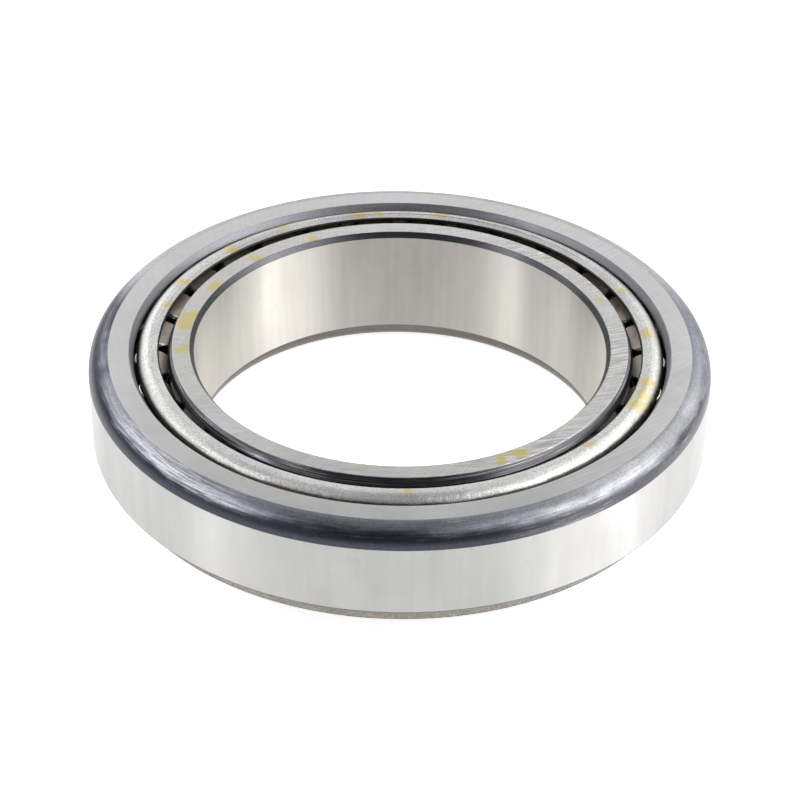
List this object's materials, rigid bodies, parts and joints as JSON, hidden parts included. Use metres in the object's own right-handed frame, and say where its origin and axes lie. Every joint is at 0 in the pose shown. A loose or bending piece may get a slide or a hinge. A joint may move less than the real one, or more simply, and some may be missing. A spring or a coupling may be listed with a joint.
{
  "type": "tapered roller bearing",
  "caption": "Tapered roller bearing: a ribbed cone, tapered rollers in a pressed-steel cage and a separable cup, turning about one axis.",
  "frame": {"origin": "centre of the cone back face, on the bearing axis", "axes": "+Z along the bearing axis, from the cone back face towards the cup back face; X and Y square to it"},
  "size_m": [0.1174, 0.1174, 0.0254],
  "materials": {
    "cup": "ground faces, as heat-treated dark outer corner",
    "cone": "ground bore and faces, dark turned rib and bore corner",
    "cage": "pressed and tumbled, fine grain",
    "roller": "ground and honed"
  },
  "bodies": {
    "cup": {"cup": "cup"},
    "cone": {"cone": "cone"},
    "cage": {"cage": "cage"},
    "roller_01": {"roller_01": "roller"},
    "roller_02": {"roller_02": "roller"},
    "roller_03": {"roller_03": "roller"},
    "roller_04": {"roller_04": "roller"},
    "roller_05": {"roller_05": "roller"},
    "roller_06": {"roller_06": "roller"},
    "roller_07": {"roller_07": "roller"},
    "roller_08": {"roller_08": "roller"},
    "roller_09": {"roller_09": "roller"},
    "roller_10": {"roller_10": "roller"},
    "roller_11": {"roller_11": "roller"},
    "roller_12": {"roller_12": "roller"},
    "roller_13": {"roller_13": "roller"},
    "roller_14": {"roller_14": "roller"},
    "roller_15": {"roller_15": "roller"},
    "roller_16": {"roller_16": "roller"},
    "roller_17": {"roller_17": "roller"},
    "roller_18": {"roller_18": "roller"},
    "roller_19": {"roller_19": "roller"},
    "roller_20": {"roller_20": "roller"},
    "roller_21": {"roller_21": "roller"},
    "roller_22": {"roller_22": "roller"},
    "roller_23": {"roller_23": "roller"},
    "roller_24": {"roller_24": "roller"},
    "roller_25": {"roller_25": "roller"},
    "roller_26": {"roller_26": "roller"},
    "roller_27": {"roller_27": "roller"},
    "roller_28": {"roller_28": "roller"},
    "roller_29": {"roller_29": "roller"}
  },
  "joints": [
    {"name": "cone_spin", "type": "hinge", "parent": "cup", "child": "cone", "pos_m": [0, 0, 0.0127], "axis": [0, 0, 1], "continuous": true},
    {"name": "cage_spin", "type": "hinge", "parent": "cup", "child": "cage", "pos_m": [0, 0, 0.0127], "axis": [0, 0, 1], "continuous": true},
    {"name": "roller_01_spin", "type": "hinge", "parent": "cage", "child": "roller_01", "pos_m": [0.04868, -0.00204, 0.01388], "axis": [-0.2954, 0.0124, 0.9553], "continuous": true},
    {"name": "roller_02_spin", "type": "hinge", "parent": "cage", "child": "roller_02", "pos_m": [0.04798, 0.00847, 0.01388], "axis": [-0.2912, -0.0514, 0.9553], "continuous": true},
    {"name": "roller_03_spin", "type": "hinge", "parent": "cage", "child": "roller_03", "pos_m": [0.04504, 0.01859, 0.01388], "axis": [-0.2733, -0.1128, 0.9553], "continuous": true},
    {"name": "roller_04_spin", "type": "hinge", "parent": "cage", "child": "roller_04", "pos_m": [0.03999, 0.02783, 0.01388], "axis": [-0.2427, -0.1689, 0.9553], "continuous": true},
    {"name": "roller_05_spin", "type": "hinge", "parent": "cage", "child": "roller_05", "pos_m": [0.03307, 0.03578, 0.01388], "axis": [-0.2007, -0.2172, 0.9553], "continuous": true},
    {"name": "roller_06_spin", "type": "hinge", "parent": "cage", "child": "roller_06", "pos_m": [0.0246, 0.04205, 0.01388], "axis": [-0.1493, -0.2552, 0.9553], "continuous": true},
    {"name": "roller_07_spin", "type": "hinge", "parent": "cage", "child": "roller_07", "pos_m": [0.01499, 0.04636, 0.01388], "axis": [-0.091, -0.2814, 0.9553], "continuous": true},
    {"name": "roller_08_spin", "type": "hinge", "parent": "cage", "child": "roller_08", "pos_m": [0.00467, 0.0485, 0.01388], "axis": [-0.0284, -0.2943, 0.9553], "continuous": true},
    {"name": "roller_09_spin", "type": "hinge", "parent": "cage", "child": "roller_09", "pos_m": [-0.00586, 0.04837, 0.01388], "axis": [0.0356, -0.2936, 0.9553], "continuous": true},
    {"name": "roller_10_spin", "type": "hinge", "parent": "cage", "child": "roller_10", "pos_m": [-0.01612, 0.04598, 0.01388], "axis": [0.0979, -0.279, 0.9553], "continuous": true},
    {"name": "roller_11_spin", "type": "hinge", "parent": "cage", "child": "roller_11", "pos_m": [-0.02563, 0.04144, 0.01388], "axis": [0.1556, -0.2515, 0.9553], "continuous": true},
    {"name": "roller_12_spin", "type": "hinge", "parent": "cage", "child": "roller_12", "pos_m": [-0.03394, 0.03496, 0.01388], "axis": [0.206, -0.2122, 0.9553], "continuous": true},
    {"name": "roller_13_spin", "type": "hinge", "parent": "cage", "child": "roller_13", "pos_m": [-0.04066, 0.02684, 0.01388], "axis": [0.2468, -0.1629, 0.9553], "continuous": true},
    {"name": "roller_14_spin", "type": "hinge", "parent": "cage", "child": "roller_14", "pos_m": [-0.04548, 0.01748, 0.01388], "axis": [0.276, -0.1061, 0.9553], "continuous": true},
    {"name": "roller_15_spin", "type": "hinge", "parent": "cage", "child": "roller_15", "pos_m": [-0.04817, 0.00729, 0.01388], "axis": [0.2924, -0.0443, 0.9553], "continuous": true},
    {"name": "roller_16_spin", "type": "hinge", "parent": "cage", "child": "roller_16", "pos_m": [-0.04861, -0.00323, 0.01388], "axis": [0.2951, 0.0196, 0.9553], "continuous": true},
    {"name": "roller_17_spin", "type": "hinge", "parent": "cage", "child": "roller_17", "pos_m": [-0.04678, -0.01361, 0.01388], "axis": [0.2839, 0.0826, 0.9553], "continuous": true},
    {"name": "roller_18_spin", "type": "hinge", "parent": "cage", "child": "roller_18", "pos_m": [-0.04276, -0.02335, 0.01388], "axis": [0.2595, 0.1417, 0.9553], "continuous": true},
    {"name": "roller_19_spin", "type": "hinge", "parent": "cage", "child": "roller_19", "pos_m": [-0.03674, -0.03199, 0.01388], "axis": [0.223, 0.1942, 0.9553], "continuous": true},
    {"name": "roller_20_spin", "type": "hinge", "parent": "cage", "child": "roller_20", "pos_m": [-0.02901, -0.03915, 0.01388], "axis": [0.1761, 0.2376, 0.9553], "continuous": true},
    {"name": "roller_21_spin", "type": "hinge", "parent": "cage", "child": "roller_21", "pos_m": [-0.01991, -0.04447, 0.01388], "axis": [0.1209, 0.2699, 0.9553], "continuous": true},
    {"name": "roller_22_spin", "type": "hinge", "parent": "cage", "child": "roller_22", "pos_m": [-0.00989, -0.04771, 0.01388], "axis": [0.06, 0.2896, 0.9553], "continuous": true},
    {"name": "roller_23_spin", "type": "hinge", "parent": "cage", "child": "roller_23", "pos_m": [0.0006, -0.04872, 0.01388], "axis": [-0.0036, 0.2957, 0.9553], "continuous": true},
    {"name": "roller_24_spin", "type": "hinge", "parent": "cage", "child": "roller_24", "pos_m": [0.01106, -0.04745, 0.01388], "axis": [-0.0671, 0.288, 0.9553], "continuous": true},
    {"name": "roller_25_spin", "type": "hinge", "parent": "cage", "child": "roller_25", "pos_m": [0.021, -0.04396, 0.01388], "axis": [-0.1275, 0.2668, 0.9553], "continuous": true},
    {"name": "roller_26_spin", "type": "hinge", "parent": "cage", "child": "roller_26", "pos_m": [0.02996, -0.03842, 0.01388], "axis": [-0.1818, 0.2332, 0.9553], "continuous": true},
    {"name": "roller_27_spin", "type": "hinge", "parent": "cage", "child": "roller_27", "pos_m": [0.03752, -0.03108, 0.01388], "axis": [-0.2277, 0.1887, 0.9553], "continuous": true},
    {"name": "roller_28_spin", "type": "hinge", "parent": "cage", "child": "roller_28", "pos_m": [0.04332, -0.02229, 0.01388], "axis": [-0.2629, 0.1353, 0.9553], "continuous": true},
    {"name": "roller_29_spin", "type": "hinge", "parent": "cage", "child": "roller_29", "pos_m": [0.0471, -0.01246, 0.01388], "axis": [-0.2859, 0.0756, 0.9553], "continuous": true}
  ],
  "couplings": [
    {"joint": "cage_spin", "follows": "cone_spin", "ratio": 0.45488},
    {"joint": "roller_01_spin", "follows": "cone_spin", "ratio": -5.2502},
    {"joint": "roller_02_spin", "follows": "cone_spin", "ratio": -5.2502},
    {"joint": "roller_03_spin", "follows": "cone_spin", "ratio": -5.2502},
    {"joint": "roller_04_spin", "follows": "cone_spin", "ratio": -5.2502},
    {"joint": "roller_05_spin", "follows": "cone_spin", "ratio": -5.2502},
    {"joint": "roller_06_spin", "follows": "cone_spin", "ratio": -5.2502},
    {"joint": "roller_07_spin", "follows": "cone_spin", "ratio": -5.2502},
    {"joint": "roller_08_spin", "follows": "cone_spin", "ratio": -5.2502},
    {"joint": "roller_09_spin", "follows": "cone_spin", "ratio": -5.2502},
    {"joint": "roller_10_spin", "follows": "cone_spin", "ratio": -5.2502},
    {"joint": "roller_11_spin", "follows": "cone_spin", "ratio": -5.2502},
    {"joint": "roller_12_spin", "follows": "cone_spin", "ratio": -5.2502},
    {"joint": "roller_13_spin", "follows": "cone_spin", "ratio": -5.2502},
    {"joint": "roller_14_spin", "follows": "cone_spin", "ratio": -5.2502},
    {"joint": "roller_15_spin", "follows": "cone_spin", "ratio": -5.2502},
    {"joint": "roller_16_spin", "follows": "cone_spin", "ratio": -5.2502},
    {"joint": "roller_17_spin", "follows": "cone_spin", "ratio": -5.2502},
    {"joint": "roller_18_spin", "follows": "cone_spin", "ratio": -5.2502},
    {"joint": "roller_19_spin", "follows": "cone_spin", "ratio": -5.2502},
    {"joint": "roller_20_spin", "follows": "cone_spin", "ratio": -5.2502},
    {"joint": "roller_21_spin", "follows": "cone_spin", "ratio": -5.2502},
    {"joint": "roller_22_spin", "follows": "cone_spin", "ratio": -5.2502},
    {"joint": "roller_23_spin", "follows": "cone_spin", "ratio": -5.2502},
    {"joint": "roller_24_spin", "follows": "cone_spin", "ratio": -5.2502},
    {"joint": "roller_25_spin", "follows": "cone_spin", "ratio": -5.2502},
    {"joint": "roller_26_spin", "follows": "cone_spin", "ratio": -5.2502},
    {"joint": "roller_27_spin", "follows": "cone_spin", "ratio": -5.2502},
    {"joint": "roller_28_spin", "follows": "cone_spin", "ratio": -5.2502},
    {"joint": "roller_29_spin", "follows": "cone_spin", "ratio": -5.2502}
  ]
}
